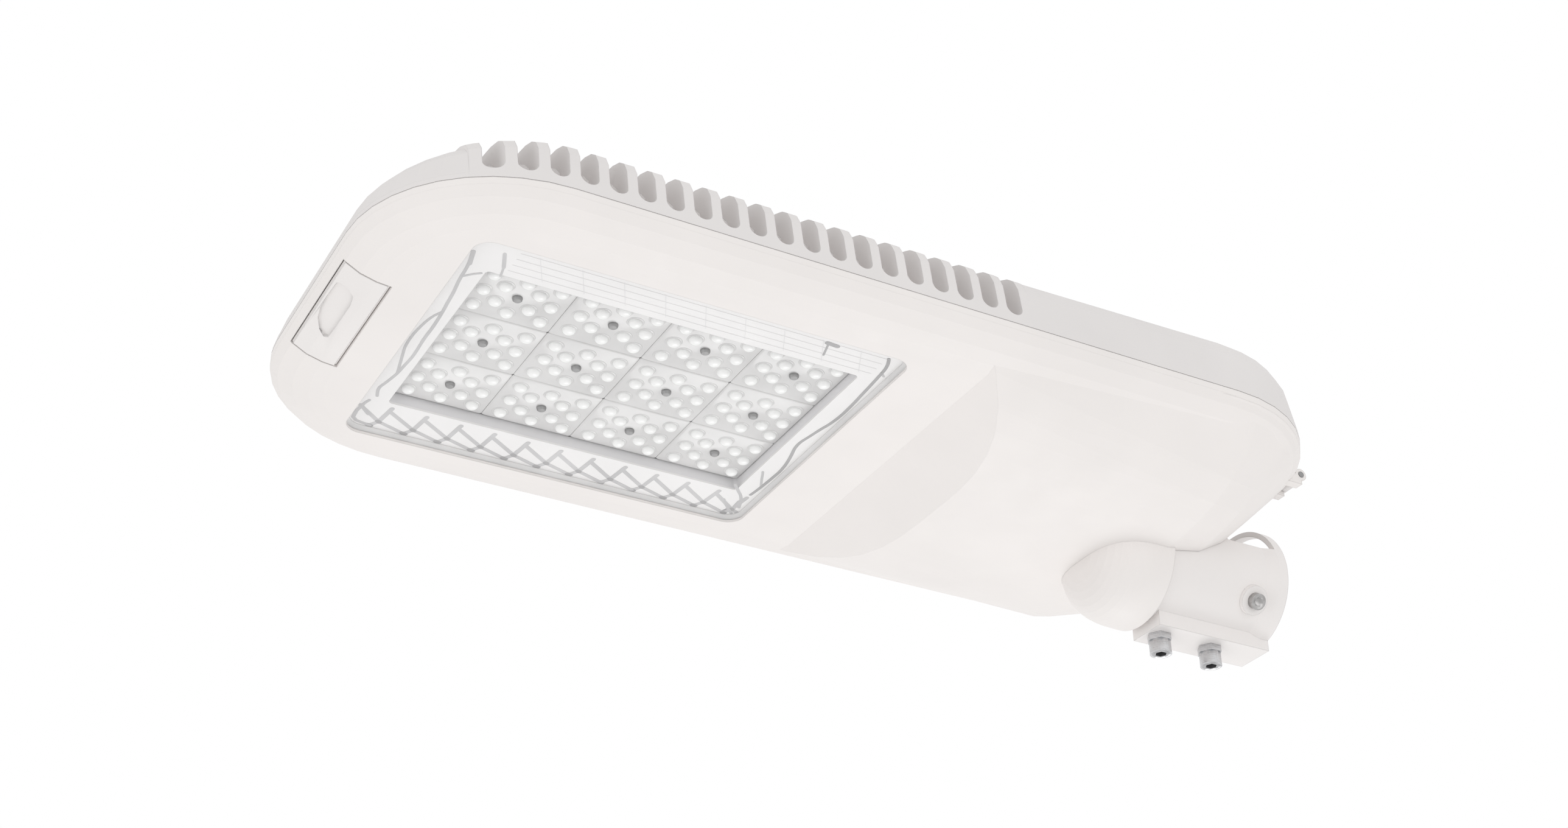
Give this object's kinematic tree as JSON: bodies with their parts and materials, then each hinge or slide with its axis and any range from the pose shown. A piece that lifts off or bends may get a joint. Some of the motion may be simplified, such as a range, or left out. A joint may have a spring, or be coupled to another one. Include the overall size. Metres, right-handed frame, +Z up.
{
  "type": "street lantern",
  "caption": "Off-white LED road lantern with a finned top cover that hinges open, a flat glass window over a lens panel, a nose latch and a side-entry pole socket.",
  "frame": {"origin": "centre of the pole socket's mouth, on the socket's axis", "axes": "+X along the socket out towards the pole, +Y towards the lantern's side that is farther away in the picture, +Z up; the light comes out downwards"},
  "size_m": [0.601, 0.284, 0.1455],
  "materials": {
    "body_paint": "fine satin powder coat, off-white",
    "cover_paint": "fine satin powder coat, off-white",
    "socket_paint": "satin powder coat on a cast surface",
    "latch_paint": "satin powder coat",
    "fastener_steel": "plain stainless, turned",
    "dark_steel": "blackened steel",
    "gland_plastic": "matt moulded polyamide",
    "glass_clear": "clear tempered flat glass",
    "seal_rubber": "pale matt silicone rubber",
    "clip_steel": "pressed stainless sheet",
    "mask_white": "white sheet with thin printed grey lines",
    "surround_grey": "light grey moulded frame",
    "tray_zinc": "zinc-plated sheet",
    "driver_case": "silver case",
    "surge_case": "moulded case",
    "terminal_plastic": "moulded block",
    "board_white": "white solder mask",
    "led_yellow": "phosphor under silicone",
    "lens_clear": "clear moulded lens plate"
  },
  "bodies": {
    "base": {"lower_body": "body_paint", "pole_socket": "socket_paint", "clamp_bolts": "fastener_steel", "lock_nuts": "fastener_steel", "side_screw": "dark_steel", "socket_screws": "fastener_steel", "cable_gland": "gland_plastic", "glass": "glass_clear", "glass_seal": "seal_rubber", "glass_clips": "clip_steel", "clip_screws": "fastener_steel", "mask": "mask_white", "panel_surround": "surround_grey", "frame_seal": "seal_rubber", "gear_tray": "tray_zinc", "tray_screws": "fastener_steel", "driver": "driver_case", "surge_protector": "surge_case", "terminal_block": "terminal_plastic", "latch_pin": "fastener_steel", "hinge_pins": "dark_steel"},
    "cover": {"top_cover": "cover_paint", "led_board": "board_white", "leds": "led_yellow", "lens_modules": "lens_clear", "module_screws": "dark_steel", "vent_plug": "gland_plastic"},
    "latch": {"latch_lever": "latch_paint", "latch_catch": "clip_steel", "latch_spring": "fastener_steel"}
  },
  "joints": [
    {"name": "cover_hinge", "type": "hinge", "parent": "base", "child": "cover", "pos_m": [-0.0206, 0, 0.0386], "axis": [0, 1, 0], "range_deg": [0, 75]},
    {"name": "latch_pivot", "type": "hinge", "parent": "base", "child": "latch", "pos_m": [-0.591, 0, 0.0338], "axis": [0, 1, 0], "range_deg": [0, 50], "stiffness_Nm_per_rad": 0.05, "springref_deg": -34.38}
  ]
}
